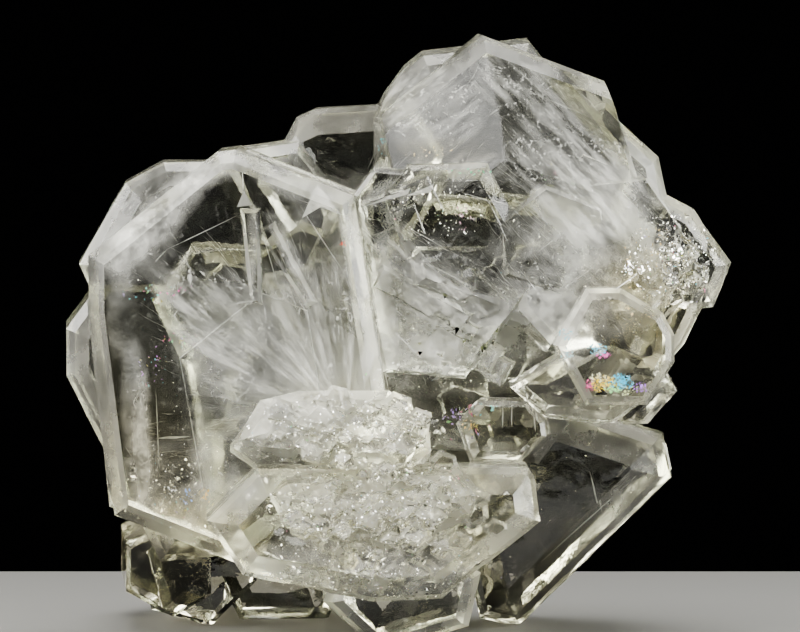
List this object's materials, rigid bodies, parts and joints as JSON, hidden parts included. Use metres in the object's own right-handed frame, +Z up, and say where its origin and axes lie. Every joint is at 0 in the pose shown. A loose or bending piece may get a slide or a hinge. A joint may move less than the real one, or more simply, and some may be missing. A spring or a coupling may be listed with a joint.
{
  "type": "goshenite crystal cluster",
  "caption": "Clear, colourless beryl crystals with flat six-sided faces, grown together in one upright piece that stands on its broken-off base.",
  "frame": {"origin": "middle of the bounding box at the level that the specimen stands on", "axes": "+Z up, the display face looks towards -Y, +X to the right of a viewer in front"},
  "size_m": [0.0756, 0.0456, 0.0692],
  "materials": {
    "clear_beryl": "clear and glassy on the basal faces, finely frosted on the rims, with white healed cracks inside"
  },
  "bodies": {
    "root": {"goshenite_cluster": "clear_beryl"}
  },
  "joints": []
}
